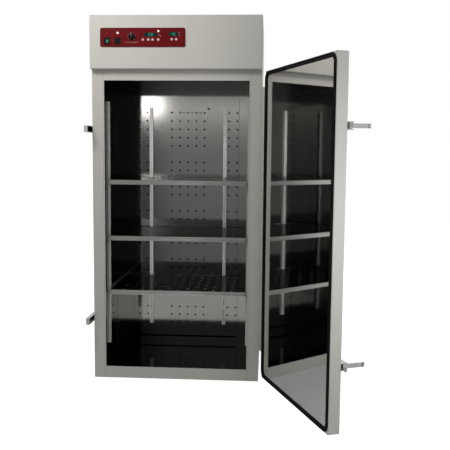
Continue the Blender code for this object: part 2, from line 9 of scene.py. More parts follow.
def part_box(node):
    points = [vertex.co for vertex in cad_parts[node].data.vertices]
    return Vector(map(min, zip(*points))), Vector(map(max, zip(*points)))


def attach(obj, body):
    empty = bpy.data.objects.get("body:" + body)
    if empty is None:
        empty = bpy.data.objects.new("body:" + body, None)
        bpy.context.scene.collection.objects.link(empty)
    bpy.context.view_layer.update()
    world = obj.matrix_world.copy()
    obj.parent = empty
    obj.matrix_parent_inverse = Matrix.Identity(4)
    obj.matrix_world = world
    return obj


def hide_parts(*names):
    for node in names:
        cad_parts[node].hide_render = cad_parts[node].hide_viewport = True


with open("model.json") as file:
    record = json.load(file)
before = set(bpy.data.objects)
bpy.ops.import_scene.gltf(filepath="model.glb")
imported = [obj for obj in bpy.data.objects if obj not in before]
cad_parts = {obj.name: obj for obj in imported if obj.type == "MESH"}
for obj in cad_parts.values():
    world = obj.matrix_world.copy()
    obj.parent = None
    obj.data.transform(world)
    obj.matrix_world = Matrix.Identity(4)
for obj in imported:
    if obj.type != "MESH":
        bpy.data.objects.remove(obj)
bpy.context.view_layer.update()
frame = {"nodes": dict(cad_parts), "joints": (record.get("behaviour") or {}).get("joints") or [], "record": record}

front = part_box("stile_left")[0].y  # the front frame's plane
scene = bpy.context.scene
scene.view_settings.view_transform = "Standard"
print("frame loaded:", len(frame["nodes"]), "nodes")

# the door is stored open, so its pieces are drawn shut and then turned
doorJoint = [joint for joint in frame["joints"] if joint["name"] == "door_swing"][0]
hingePoint = Vector(doorJoint["pos_m"])
openAngle = math.radians(-doorJoint["range_deg"][0])
doorTurn = (Matrix.Translation(hingePoint) @ Matrix.Rotation(openAngle, 4, "Z")
            @ Matrix.Translation(-hingePoint))


# camera, lights and floor
cameraValues = {"place": (0.506, -4.2125, 1.273), "lens": 57.0, "yaw": 0.0614, "pitch": -0.103, "roll": 0.009}
lens = bpy.data.cameras.new("camera")
lens.lens = cameraValues["lens"]
lens.sensor_width = 36.0
lens.clip_end = 100.0
cameraObject = bpy.data.objects.new("camera", lens)
scene.collection.objects.link(cameraObject)
cameraObject.matrix_world = (Matrix.Translation(cameraValues["place"])
                             @ Matrix.Rotation(cameraValues["yaw"], 4, "Z")
                             @ Matrix.Rotation(math.pi / 2 + cameraValues["pitch"], 4, "X")
                             @ Matrix.Rotation(cameraValues["roll"], 4, "Z"))
scene.camera = cameraObject


def areaLight(name, place, aim, size, power, colour=(1, 1, 1), height=None):
    light = bpy.data.lights.new(name, "AREA")
    light.energy = power
    light.size = size
    light.color = colour
    if height:
        light.shape = "RECTANGLE"
        light.size_y = height
    lamp = bpy.data.objects.new(name, light)
    scene.collection.objects.link(lamp)
    lamp.location = place
    lamp.rotation_euler = (Vector(aim) - Vector(place)).to_track_quat("-Z", "Y").to_euler()
    lamp.visible_camera = False
    lamp.visible_glossy = False  # the metal mirrors the room below, and none of these lights


lightValues = {"key": 14.5, "fill": 12.0, "top": 14.0, "side": 8.0, "chamber": 8.0, "back": 75.0,
               "left": 60.0, "right": 45.0}
areaLight("keyLight", (-0.70, -1.55, 2.40), (-0.2, -0.35, 1.6), 0.55, lightValues["key"], (1.0, 0.98, 0.95))
areaLight("fillLight", (2.6, -3.6, 2.4), (0.6, -0.6, 1.0), 2.2, lightValues["fill"], (0.96, 0.98, 1.0))
areaLight("topLight", (0.4, 0.2, 4.6), (0.2, 0.0, 0.0), 3.2, lightValues["top"])
areaLight("sideLight", (1.25, -2.10, 1.0), (0.8, -1.15, 1.15), 0.4, lightValues["side"])
areaLight("chamberLight", (-0.06, front + 0.050, 0.95), (-0.06, 1.0, 0.95), 0.45, lightValues["chamber"],
          height=1.35)
areaLight("backLight", (0.3, 5.0, 2.6), (0.0, 0.35, 1.0), 3.0, lightValues["back"])
areaLight("leftLight", (-4.6, 1.4, 2.2), (-0.46, 0.0, 1.0), 2.4, lightValues["left"])
areaLight("rightLight", (4.8, 1.6, 2.2), (0.6, -0.3, 1.0), 2.4, lightValues["right"])


# each ramp is a row of (slope, strength) stops
worldValues = {
    "fill": 0.17, "seen": 1.0, "pane": 5.0, "darkest": 0.012, "nearest": 0.001,
    "wide": ((-0.20, 0.0), (-0.13, 1.0), (0.01, 1.0), (0.07, 0.0)),
    "tall": ((-0.30, 0.02), (-0.15, 0.11), (0.0, 0.17), (0.03, 0.26), (0.055, 0.50), (0.072, 0.50),
             (0.082, 0.01), (0.16, 0.02), (0.24, 0.16)),
    "paneWide": ((-0.190, 0.0), (-0.182, 1.0), (-0.155, 1.0), (-0.148, 0.0)),
    "paneTall": ((0.048, 0.0), (0.055, 1.0), (0.074, 1.0), (0.078, 0.0)),
    "beside": ((0.5, 0.0), (1.3, 0.75))}


def worldNode(nodes, kind, operation=None, values=()):
    node = nodes.new("ShaderNode" + kind)
    if operation:
        node.operation = operation
    for index, value in enumerate(values):
        if value is not None:
            node.inputs[index].default_value = value
    return node


def makeWorld():
    # the lens sees plain white, and the metal sees a dark room in front of it
    # the room has one bright stretch, a small bright pane, and pale walls at its sides
    world = bpy.data.worlds.new("studio")
    scene.world = world
    world.use_nodes = True
    nodes = world.node_tree.nodes
    links = world.node_tree.links
    nodes.clear()
    output = nodes.new("ShaderNodeOutputWorld")
    place = nodes.new("ShaderNodeTexCoord")
    split = nodes.new("ShaderNodeSeparateXYZ")
    links.new(place.outputs["Generated"], split.inputs["Vector"])
    ahead = worldNode(nodes, "Math", "MULTIPLY", (None, -1.0))
    links.new(split.outputs["Y"], ahead.inputs[0])
    depth = worldNode(nodes, "Math", "MAXIMUM", (None, worldValues["nearest"]))
    links.new(ahead.outputs[0], depth.inputs[0])
    across = worldNode(nodes, "Math", "DIVIDE")
    links.new(split.outputs["X"], across.inputs[0])
    links.new(depth.outputs[0], across.inputs[1])
    rise = worldNode(nodes, "Math", "DIVIDE")
    links.new(split.outputs["Z"], rise.inputs[0])
    links.new(depth.outputs[0], rise.inputs[1])

    def ramp(source, stops):
        scaled = nodes.new("ShaderNodeMapRange")
        scaled.inputs["From Min"].default_value = stops[0][0]
        scaled.inputs["From Max"].default_value = stops[-1][0]
        links.new(source, scaled.inputs["Value"])
        colours = nodes.new("ShaderNodeValToRGB")
        colours.color_ramp.interpolation = "EASE"
        span = stops[-1][0] - stops[0][0]
        for index, (at, value) in enumerate(stops):
            where = (at - stops[0][0]) / span
            if index < 2:
                stop = colours.color_ramp.elements[index]
                stop.position = where
            else:
                stop = colours.color_ramp.elements.new(where)
            stop.color = (value, value, value, 1)
        links.new(scaled.outputs["Result"], colours.inputs["Fac"])
        return colours.outputs["Color"]

    wide = ramp(across.outputs[0], worldValues["wide"])
    tall = ramp(rise.outputs[0], worldValues["tall"])
    paneWide = ramp(across.outputs[0], worldValues["paneWide"])
    paneTall = ramp(rise.outputs[0], worldValues["paneTall"])
    pane = worldNode(nodes, "Math", "MULTIPLY")
    links.new(paneWide, pane.inputs[0])
    links.new(paneTall, pane.inputs[1])
    room = worldNode(nodes, "Math", "MULTIPLY")
    links.new(wide, room.inputs[0])
    links.new(tall, room.inputs[1])
    glow = worldNode(nodes, "Math", "MULTIPLY_ADD", (None, worldValues["pane"]))
    links.new(pane.outputs[0], glow.inputs[0])
    links.new(room.outputs[0], glow.inputs[2])
    sideways = worldNode(nodes, "Math", "ABSOLUTE")
    links.new(across.outputs[0], sideways.inputs[0])
    beside = ramp(sideways.outputs[0], worldValues["beside"])
    base = worldNode(nodes, "Math", "ADD", (None, worldValues["darkest"]))
    links.new(glow.outputs[0], base.inputs[0])
    reflected = worldNode(nodes, "Math", "ADD")
    links.new(base.outputs[0], reflected.inputs[0])
    links.new(beside, reflected.inputs[1])
    shine = nodes.new("ShaderNodeBackground")
    shine.inputs["Color"].default_value = (1, 1, 1, 1)
    links.new(reflected.outputs[0], shine.inputs["Strength"])
    fill = nodes.new("ShaderNodeBackground")
    fill.inputs["Color"].default_value = (1, 1, 1, 1)
    fill.inputs["Strength"].default_value = worldValues["fill"]
    seen = nodes.new("ShaderNodeBackground")
    seen.inputs["Color"].default_value = (1, 1, 1, 1)
    seen.inputs["Strength"].default_value = worldValues["seen"]
    ray = nodes.new("ShaderNodeLightPath")
    lit = nodes.new("ShaderNodeMixShader")
    links.new(ray.outputs["Is Diffuse Ray"], lit.inputs["Fac"])
    links.new(shine.outputs[0], lit.inputs[1])
    links.new(fill.outputs[0], lit.inputs[2])
    pick = nodes.new("ShaderNodeMixShader")
    links.new(ray.outputs["Is Camera Ray"], pick.inputs["Fac"])
    links.new(lit.outputs[0], pick.inputs[1])
    links.new(seen.outputs[0], pick.inputs[2])
    links.new(pick.outputs[0], output.inputs["Surface"])


makeWorld()


floorValues = {"half": (9.0, 5.8, 1.0), "centre": (0.0, 4.0, -0.002), "tone": (0.40, 0.44),
               "glow": (0.11, 0.90), "grain": 3.0, "rough": 0.9}


def makeFloor():
    bm = bmesh.new()
    bmesh.ops.create_grid(bm, x_segments=1, y_segments=1, size=1.0)
    bmesh.ops.scale(bm, verts=bm.verts, vec=floorValues["half"])
    bmesh.ops.translate(bm, verts=bm.verts, vec=floorValues["centre"])
    mesh = bpy.data.meshes.new("floor")
    bm.to_mesh(mesh)
    bm.free()
    floor = bpy.data.objects.new("floor", mesh)
    scene.collection.objects.link(floor)
    material = bpy.data.materials.new("floorPaper")
    material.use_nodes = True
    nodes = material.node_tree.nodes
    links = material.node_tree.links
    shader = nodes["Principled BSDF"]
    shader.inputs["Roughness"].default_value = floorValues["rough"]
    place = nodes.new("ShaderNodeTexCoord")
    grain = nodes.new("ShaderNodeTexNoise")
    grain.inputs["Scale"].default_value = floorValues["grain"]
    tone = nodes.new("ShaderNodeMapRange")
    tone.inputs["To Min"].default_value = floorValues["tone"][0]
    tone.inputs["To Max"].default_value = floorValues["tone"][1]
    links.new(place.outputs["Object"], grain.inputs["Vector"])
    links.new(grain.outputs["Fac"], tone.inputs["Value"])
    links.new(tone.outputs["Result"], shader.inputs["Base Color"])
    shader.inputs["Emission Color"].default_value = (1, 1, 1, 1)
    ray = nodes.new("ShaderNodeLightPath")
    lift = nodes.new("ShaderNodeMapRange")
    lift.inputs["To Min"].default_value = floorValues["glow"][0]
    lift.inputs["To Max"].default_value = floorValues["glow"][1]
    links.new(ray.outputs["Is Camera Ray"], lift.inputs["Value"])
    links.new(lift.outputs["Result"], shader.inputs["Emission Strength"])
    mesh.materials.append(material)


makeFloor()
print("camera, lights and floor ready")


# finishes, each a node material in object coordinates
def finish(name, colour, second, metallic=0.0, rough=(0.3, 0.4), grain=40.0, stretch=(1, 1, 1), bump=0.05,
           bumpDepth=0.001, wave=0.0, waveScale=3.0, mottle=2.0, coat=0.0, **sockets):
    material = bpy.data.materials.new(name)
    material.use_nodes = True
    nodes = material.node_tree.nodes
    links = material.node_tree.links
    shader = nodes["Principled BSDF"]
    shader.inputs["Metallic"].default_value = metallic
    shader.inputs["Coat Weight"].default_value = coat
    for socket, value in sockets.items():
        shader.inputs[socket.replace("_", " ")].default_value = value
    place = nodes.new("ShaderNodeTexCoord")
    mapping = nodes.new("ShaderNodeMapping")
    mapping.inputs["Scale"].default_value = stretch
    links.new(place.outputs["Object"], mapping.inputs["Vector"])
    fine = nodes.new("ShaderNodeTexNoise")
    fine.inputs["Scale"].default_value = grain
    fine.inputs["Detail"].default_value = 4.0
    links.new(mapping.outputs["Vector"], fine.inputs["Vector"])
    broad = nodes.new("ShaderNodeTexNoise")
    broad.inputs["Scale"].default_value = mottle
    broad.inputs["Detail"].default_value = 2.0
    links.new(place.outputs["Object"], broad.inputs["Vector"])
    blend = nodes.new("ShaderNodeMix")
    blend.data_type = "RGBA"
    blend.inputs["A"].default_value = (*colour, 1.0)
    blend.inputs["B"].default_value = (*second, 1.0)
    both = nodes.new("ShaderNodeMath")
    both.operation = "MULTIPLY"
    links.new(fine.outputs["Fac"], both.inputs[0])
    links.new(broad.outputs["Fac"], both.inputs[1])
    strength = nodes.new("ShaderNodeMapRange")
    strength.inputs["From Max"].default_value = 0.5
    links.new(both.outputs["Value"], strength.inputs["Value"])
    links.new(strength.outputs["Result"], blend.inputs["Factor"])
    links.new(blend.outputs["Result"], shader.inputs["Base Color"])
    roughness = nodes.new("ShaderNodeMapRange")
    roughness.inputs["From Min"].default_value = 0.3
    roughness.inputs["From Max"].default_value = 0.7
    roughness.inputs["To Min"].default_value = rough[0]
    roughness.inputs["To Max"].default_value = rough[1]
    links.new(fine.outputs["Fac"], roughness.inputs["Value"])
    links.new(roughness.outputs["Result"], shader.inputs["Roughness"])
    last = None
    if wave:
        ripple = nodes.new("ShaderNodeTexNoise")
        ripple.inputs["Scale"].default_value = waveScale
        ripple.inputs["Detail"].default_value = 0.0
        links.new(place.outputs["Object"], ripple.inputs["Vector"])
        bend = nodes.new("ShaderNodeBump")
        bend.inputs["Strength"].default_value = 1.0
        bend.inputs["Distance"].default_value = wave
        links.new(ripple.outputs["Fac"], bend.inputs["Height"])
        last = bend
    relief = nodes.new("ShaderNodeBump")
    relief.inputs["Strength"].default_value = bump
    relief.inputs["Distance"].default_value = bumpDepth
    links.new(fine.outputs["Fac"], relief.inputs["Height"])
    if last:
        links.new(last.outputs["Normal"], relief.inputs["Normal"])
    links.new(relief.outputs["Normal"], shader.inputs["Normal"])
    return material


paint = finish("greyPaint", (0.600, 0.585, 0.550), (0.565, 0.550, 0.515), rough=(0.34, 0.46), grain=260.0,
               bump=0.10, bumpDepth=0.0006, mottle=1.5, coat=0.08)
liningSteel = finish("liningSteel", (0.26, 0.26, 0.25), (0.21, 0.21, 0.20), 1.0, (0.05, 0.11), 30.0,
                     (9, 9, 0.5), 0.008, 0.0003, wave=0.0006, waveScale=1.4)
ductSteel = finish("ductSteel", (0.64, 0.62, 0.59), (0.58, 0.56, 0.53), 1.0, (0.065, 0.10), 30.0,
                   (9, 9, 0.5), 0.004, 0.0003, wave=0.0004, waveScale=1.6)
# painted shade and light: the shelf deck takes a darker steel with a lower edge tint so its reflections read dark,
# and the lip takes a brighter, partly diffuse copy of the same steel as a painted lit band
shadedShelfSteel = finish("shadedShelfSteel", (0.34, 0.34, 0.33), (0.26, 0.26, 0.25), 1.0, (0.12, 0.22), 30.0,
                    (0.6, 9, 9), 0.02, 0.0003, Specular_Tint=(0.30, 0.30, 0.29, 1))
uprightSteel = finish("uprightSteel", (0.80, 0.79, 0.77), (0.66, 0.65, 0.63), 0.35, (0.28, 0.42), 40.0,
                      (6, 6, 0.6), 0.05, 0.0003)
litLipSteel = finish("litLipSteel", (0.74, 0.73, 0.70), (0.66, 0.65, 0.62), 0.62, (0.17, 0.22), 30.0,
                  (0.6, 2, 2), 0.004, 0.0003)
mirrorSteel = finish("mirrorSteel", (0.80, 0.80, 0.79), (0.74, 0.74, 0.73), 1.0, (0.015, 0.045), 35.0,
                     (3, 3, 1), 0.01, 0.0003, wave=0.0015, waveScale=1.3)
# painted shade: the lining steel made darker, with a lower edge tint, for the ceiling and floor linings, which lie
# in shade and mirror dark
shadedLiningSteel = finish("shadedLiningSteel", (0.22, 0.22, 0.22), (0.17, 0.17, 0.17), 1.0, (0.05, 0.11), 30.0,
                   (9, 9, 0.5), 0.03, 0.0004, Specular_Tint=(0.34, 0.34, 0.34, 1))
# painted shade: a near-black steel for the back lining, standing for the shade inside the duct seen through the
# panel's holes
paintedDuctShade = finish("paintedDuctShade", (0.030, 0.030, 0.030), (0.018, 0.018, 0.018), 1.0, (0.5, 0.7), 40.0)
plated = finish("platedMetal", (0.72, 0.72, 0.72), (0.60, 0.60, 0.60), 1.0, (0.16, 0.30), 120.0,
                bump=0.05, bumpDepth=0.0003)
brassFinish = finish("brassFinish", (0.60, 0.45, 0.20), (0.45, 0.33, 0.14), 1.0, (0.22, 0.35), 150.0)
rubber = finish("blackRubber", (0.006, 0.006, 0.006), (0.012, 0.012, 0.012), rough=(0.50, 0.64), grain=180.0,
                bump=0.12, bumpDepth=0.0005, Specular_IOR_Level=0.05)
facia = finish("redFacia", (0.150, 0.007, 0.010), (0.120, 0.006, 0.008), rough=(0.36, 0.48), grain=220.0,
               bump=0.06, bumpDepth=0.0004, mottle=8.0, Specular_IOR_Level=0.12)
blackPlastic = finish("blackPlastic", (0.008, 0.009, 0.008), (0.016, 0.017, 0.016), rough=(0.32, 0.46),
                      grain=300.0, bump=0.08, bumpDepth=0.0003, mottle=20.0, Specular_IOR_Level=0.20)
greenPlastic = finish("greenPlastic", (0.030, 0.260, 0.160), (0.020, 0.200, 0.120), rough=(0.20, 0.30),
                      grain=300.0, mottle=40.0, Emission_Color=(0.05, 0.45, 0.25, 1), Emission_Strength=0.25)
palePlastic = finish("palePlastic", (0.78, 0.66, 0.64), (0.70, 0.58, 0.56), rough=(0.25, 0.38), grain=300.0,
                     mottle=40.0)
displayGlass = finish("displayGlass", (0.006, 0.022, 0.018), (0.010, 0.034, 0.026), rough=(0.10, 0.18),
                      grain=200.0, mottle=30.0)
digitGlow = finish("digitGlow", (0.02, 0.30, 0.20), (0.02, 0.24, 0.16), rough=(0.3, 0.4), grain=400.0,
                   Emission_Color=(0.05, 0.75, 0.50, 1), Emission_Strength=0.45)
redLens = finish("redLens", (0.26, 0.012, 0.012), (0.20, 0.010, 0.010), rough=(0.10, 0.20), grain=300.0,
                 Emission_Color=(0.9, 0.05, 0.04, 1), Emission_Strength=0.03)
clearLens = finish("clearLens", (0.85, 0.83, 0.80), (0.78, 0.76, 0.72), rough=(0.12, 0.22), grain=300.0,
                   Emission_Color=(1.0, 0.93, 0.88, 1), Emission_Strength=0.55)
ink = finish("paleInk", (0.72, 0.52, 0.50), (0.62, 0.42, 0.40), rough=(0.4, 0.5), grain=400.0)
foam = finish("cellFoam", (0.62, 0.52, 0.32), (0.50, 0.42, 0.25), rough=(0.85, 0.98), grain=350.0, bump=0.5)
boardFinish = finish("boardFinish", (0.015, 0.16, 0.06), (0.010, 0.11, 0.04), rough=(0.35, 0.5), grain=200.0)
sheath = finish("heaterSheath", (0.26, 0.24, 0.22), (0.18, 0.16, 0.15), 1.0, (0.38, 0.55), 90.0)
castMetal = finish("castMetal", (0.58, 0.58, 0.58), (0.48, 0.48, 0.48), 1.0, (0.35, 0.55), 150.0, bump=0.2)
# painted shadow: a dark grey finish for the shadow line in the seam beside the opening's trim
seamShadow = finish("paintedSeamShadow", (0.30, 0.29, 0.27), (0.24, 0.23, 0.21), rough=(0.5, 0.65), grain=260.0)

finishOfSlot = {"paint": paint, "steel": liningSteel, "mirror_steel": mirrorSteel, "plated": plated,
                "foam": foam, "seal": rubber, "facia": facia, "black_plastic": blackPlastic,
                "pale_plastic": palePlastic, "green_plastic": greenPlastic, "display": displayGlass,
                "red_lens": redLens, "clear_lens": clearLens, "board": boardFinish,
                "heater_sheath": sheath, "motor_metal": castMetal}
for part in frame["record"]["subparts"]:
    node = frame["nodes"][part["node"]]
    node.data.materials.clear()
    node.data.materials.append(finishOfSlot[part["material_slot"]])
# painted shade: the back lining behind the duct is near black, for the shade inside the duct
for name, look in (("rocker_power", blackPlastic), ("liner_back", paintedDuctShade),
                   # painted shade: the ceiling and floor linings take the darker copy of the lining steel
                   ("liner_ceiling", shadedLiningSteel), ("liner_floor", shadedLiningSteel)):
    frame["nodes"][name].data.materials[0] = look
print("finishes ready")


# shape helpers
def movedVerts(result):
    return [item for item in result["geom"] if isinstance(item, bmesh.types.BMVert)]


def block(low, high, bm=None, bevel=0.0):
    bm = bm or bmesh.new()
    low = Vector(low)
    high = Vector(high)
    made = bmesh.ops.create_cube(bm, size=1.0)["verts"]
    bmesh.ops.scale(bm, verts=made, vec=high - low)
    bmesh.ops.translate(bm, verts=made, vec=(low + high) / 2)
    if bevel:
        edges = list({edge for vert in made for edge in vert.link_edges})
        bmesh.ops.bevel(bm, geom=edges, offset=bevel, segments=2, profile=0.5, affect="EDGES", material=-1)
    return bm


def disc(centre, radius, depth, axis="Y", bm=None, segments=20, crown=0.0):
    # a short round piece centred on a point, with its front rim rounded over
    bm = bm or bmesh.new()
    made = bmesh.ops.create_cone(bm, cap_ends=True, segments=segments, radius1=radius, radius2=radius,
                                 depth=depth)["verts"]
    if crown:
        rim = [edge for edge in {e for v in made for e in v.link_edges}
               if all(v.co.z > 0 for v in edge.verts)]
        result = bmesh.ops.bevel(bm, geom=rim, offset=crown, segments=3, profile=0.5, affect="EDGES",
                                 material=-1)
        made = list(set(vert for vert in made if vert.is_valid) | set(result["verts"]))
    turn = {"Y": Matrix.Rotation(math.pi / 2, 3, "X"), "X": Matrix.Rotation(math.pi / 2, 3, "Y"),
            "-Y": Matrix.Rotation(-math.pi / 2, 3, "X"),
            "Z": Matrix.Identity(3), "-Z": Matrix.Rotation(math.pi, 3, "X")}[axis]
    bmesh.ops.rotate(bm, verts=made, cent=(0, 0, 0), matrix=turn)
    bmesh.ops.translate(bm, verts=made, vec=centre)
    return bm


def plate(width, height, thickness, holes=(), slots=()):
    # a flat plate in XY with real openings
    # holes are (x, y, radius), and slots are (x, y, half length, radius, along)
    bm = bmesh.new()
    made = bmesh.ops.create_grid(bm, x_segments=1, y_segments=1, size=0.5)["verts"]
    bmesh.ops.scale(bm, verts=made, vec=(width, height, 1))
    bmesh.ops.delete(bm, geom=list(bm.faces), context="FACES_ONLY")
    for x, y, radius in holes:
        bmesh.ops.create_circle(bm, segments=12, radius=radius, matrix=Matrix.Translation((x, y, 0)))
    for x, y, half, radius, along in slots:
        ring = bmesh.ops.create_circle(bm, segments=12, radius=radius,
                                       matrix=Matrix.Rotation(math.radians(15), 4, "Z"))["verts"]
        step = Vector((half, 0, 0)) if along == "X" else Vector((0, half, 0))
        for side in (-1, 1):
            bmesh.ops.translate(bm, vec=step * side, verts=[v for v in ring if v.co.dot(step) * side > 0])
        bmesh.ops.translate(bm, vec=(x, y, 0), verts=ring)
    bmesh.ops.triangle_fill(bm, edges=list(bm.edges), use_beauty=True)
    raised = bmesh.ops.extrude_face_region(bm, geom=list(bm.faces))
    bmesh.ops.translate(bm, verts=movedVerts(raised), vec=(0, 0, thickness))
    bmesh.ops.recalc_face_normals(bm, faces=bm.faces)
    return bm


def roundedRing(outer, inner, y, thickness):
    # a flat frame between two rounded outlines, each (x0, z0, x1, z1, corner radius)
    bm = bmesh.new()
    for x0, z0, x1, z1, radius in (outer, inner):
        points = []
        for cx, cz, first in ((x1 - radius, z1 - radius, 0), (x0 + radius, z1 - radius, 90),
                              (x0 + radius, z0 + radius, 180), (x1 - radius, z0 + radius, 270)):
            for step in range(7):
                angle = math.radians(first + 15 * step)
                points.append(bm.verts.new((cx + radius * math.cos(angle), y, cz + radius * math.sin(angle))))
        for index, vert in enumerate(points):
            bm.edges.new((vert, points[(index + 1) % len(points)]))
    bmesh.ops.triangle_fill(bm, edges=list(bm.edges), use_beauty=True)
    raised = bmesh.ops.extrude_face_region(bm, geom=list(bm.faces))
    bmesh.ops.translate(bm, verts=movedVerts(raised), vec=(0, thickness, 0))
    return bm


def place(bm, matrix):
    bmesh.ops.transform(bm, matrix=matrix, verts=bm.verts)
    return bm


def merge(bm, other):
    # adds the other mesh to the first one
    mesh = bpy.data.meshes.new("part")
    other.to_mesh(mesh)
    other.free()
    bm.from_mesh(mesh)
    bpy.data.meshes.remove(mesh)
    return bm


def addPiece(name, bm, body, look, stands=(), turn=None, smooth=30, bevel=0.0):
    if turn:
        bmesh.ops.transform(bm, matrix=turn, verts=bm.verts)
    bmesh.ops.recalc_face_normals(bm, faces=bm.faces)
    mesh = bpy.data.meshes.new(name)
    bm.to_mesh(mesh)
    bm.free()
    mesh.materials.append(look)
    mesh.shade_smooth()
    mesh.set_sharp_from_angle(angle=math.radians(smooth))
    piece = bpy.data.objects.new(name, mesh)
    scene.collection.objects.link(piece)
    if bevel:
        edge = piece.modifiers.new("edge", "BEVEL")
        edge.width = bevel
        edge.segments = 2
        edge.limit_method = "ANGLE"
        edge.angle_limit = math.radians(40)
    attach(piece, body)
    if stands:
        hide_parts(*stands)
    return piece


uprightValues = {"slotHalf": 0.0046, "slotTall": 0.0034, "pitch": 0.0127, "sheet": 0.0012}


def upright(matrix, width, depth, length, slotPitch):
    # a slotted channel: a face laid out in strips round each slot, with two flanges running back from it
    slotHalf = uprightValues["slotHalf"]
    slotTall = uprightValues["slotTall"]
    sheet = uprightValues["sheet"]
    count = int(length / slotPitch)
    first = -(count - 1) * slotPitch / 2
    heights = [-length / 2]
    for index in range(count):
        middle = first + index * slotPitch
        heights += [middle - slotTall / 2, middle + slotTall / 2]
    heights.append(length / 2)
    bm = bmesh.new()
    rows = [[bm.verts.new((x, y, 0)) for x in (-width / 2, -slotHalf, slotHalf, width / 2)] for y in heights]
    for index, (below, above) in enumerate(zip(rows, rows[1:])):
        for column in (0, 2) if index % 2 else (0, 1, 2):
            bm.faces.new((below[column], below[column + 1], above[column + 1], above[column]))
    raised = bmesh.ops.extrude_face_region(bm, geom=list(bm.faces))
    bmesh.ops.translate(bm, verts=movedVerts(raised), vec=(0, 0, sheet))
    for side in (-1, 1):
        edge = side * (width / 2 - sheet / 2)
        block((edge - sheet / 2, -length / 2, -depth + sheet), (edge + sheet / 2, length / 2, -0.0001), bm)
    return place(bm, matrix)


# chamber lining
wallValues = {"pitch": 0.0508, "firstX": -0.3053, "firstZ": 1.508, "holeRadius": 0.0058,
              "columns": (0, 1, 4, 5, 6, 7, 8, 11, 12), "rows": 27, "skipped": (5, 8, 11, 14, 17, 20, 23),
              "slotHalf": 0.305, "slotZ": 0.099,
              "slotRadius": 0.0055, "probeRadius": 0.0034, "dashHalf": 0.0085, "dashRadius": 0.0020,
              "seamX": 0.3155, "seamHalf": 0.0009, "sideColumn": 0.21}


def holeRows():
    return [wallValues["firstZ"] - wallValues["pitch"] * row for row in range(wallValues["rows"])
            if row not in wallValues["skipped"]]


def buildDuct():
    low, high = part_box("duct_panel")
    middle = (low + high) / 2
    probe = (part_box("temperature_probe")[0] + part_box("temperature_probe")[1]) / 2
    holes = [(wallValues["firstX"] + wallValues["pitch"] * column - middle.x, z - middle.z,
              wallValues["holeRadius"]) for column in wallValues["columns"] for z in holeRows()]
    holes.append((probe.x - middle.x, probe.z - middle.z, wallValues["probeRadius"]))
    slots = [(0 - middle.x, wallValues["slotZ"] - middle.z, wallValues["slotHalf"] - wallValues["slotRadius"],
              wallValues["slotRadius"], "X")]
    between = wallValues["firstX"] + wallValues["pitch"] * 5.5
    for step in range(3):  # short slots between the holes of the top row
        slots.append((between + wallValues["pitch"] * step - middle.x, wallValues["firstZ"] - middle.z,
                      wallValues["dashHalf"], wallValues["dashRadius"], "X"))
    bm = plate(high.x - low.x, high.z - low.z, high.y - low.y, holes, slots)
    place(bm, Matrix.Translation((middle.x, high.y, middle.z)) @ Matrix.Rotation(math.pi / 2, 4, "X"))
    addPiece("ductPanel", bm, "cabinet", ductSteel, ("duct_panel",))
    seams = bmesh.new()
    for side in (-1, 1):
        seamX = side * wallValues["seamX"]
        block((seamX - wallValues["seamHalf"], low.y - 0.0012, low.z + 0.004),
              (seamX + wallValues["seamHalf"], low.y - 0.0001, high.z - 0.06), seams)
    addPiece("ductSeams", seams, "cabinet", liningSteel, bevel=0.0003)
    tip = disc((probe.x, low.y - 0.0035, probe.z), 0.0072, 0.007, bm=None, segments=6)
    disc((probe.x, low.y - 0.0085, probe.z), 0.0046, 0.003, bm=tip, crown=0.0008)
    addPiece("probeGland", tip, "cabinet", brassFinish, bevel=0.0004)


def buildSideLining(name, side, node):
    low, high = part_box(node)
    middle = (low + high) / 2
    column = front + wallValues["sideColumn"]
    holes = [(column - middle.y, z - middle.z, wallValues["holeRadius"]) for z in holeRows()]
    bm = plate(high.y - low.y, high.z - low.z, high.x - low.x, holes)
    turn = Matrix.Rotation(math.pi / 2, 4, "Z") @ Matrix.Rotation(math.pi / 2, 4, "X")
    place(bm, Matrix.Translation((low.x, middle.y, middle.z)) @ turn)
    addPiece(name, bm, "cabinet", liningSteel, (node,))
    screens = bmesh.new()
    outer = high.x if side > 0 else low.x
    for z in holeRows():
        disc((outer - side * 0.0003, column, z), wallValues["holeRadius"] - 0.0002, 0.0004, "X", screens, 12)
    addPiece(name + "Screens", screens, "cabinet", rubber)
    inner = low.x if side > 0 else high.x
    xs = sorted((inner - side * 0.0001, inner - side * 0.0010))
    seam = block((xs[0], front + 0.302, low.z + 0.01), (xs[1], front + 0.304, high.z - 0.01))
    addPiece(name + "Seam", seam, "cabinet", liningSteel, bevel=0.0003)


screwValues = {"frontXs": (-0.3535, -0.2122, -0.0708, 0.0708, 0.2122, 0.3535), "setBack": 0.006,
               "ceilingSpots": ((-0.155, 0.30), (0.095, 0.47), (0.34, 0.47), (-0.34, 0.47)),
               "radius": 0.0036, "ceilingRadius": 0.0040, "depth": 0.0026, "lift": 0.0014, "crown": 0.0010}


def buildLiningScrews():
    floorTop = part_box("liner_floor")[1].z
    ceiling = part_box("liner_ceiling")[0].z
    y = front + screwValues["setBack"]
    radius, depth, lift, crown = (screwValues[key] for key in ("radius", "depth", "lift", "crown"))
    bm = bmesh.new()
    for x in screwValues["frontXs"]:
        disc((x, y, floorTop + lift), radius, depth, "Z", bm, 16, crown)
        disc((x, y, ceiling - lift), radius, depth, "-Z", bm, 16, crown)
    for x, back in screwValues["ceilingSpots"]:
        disc((x, front + back, ceiling - lift), screwValues["ceilingRadius"], depth, "-Z", bm, 16, crown)
    addPiece("liningScrews", bm, "cabinet", plated)


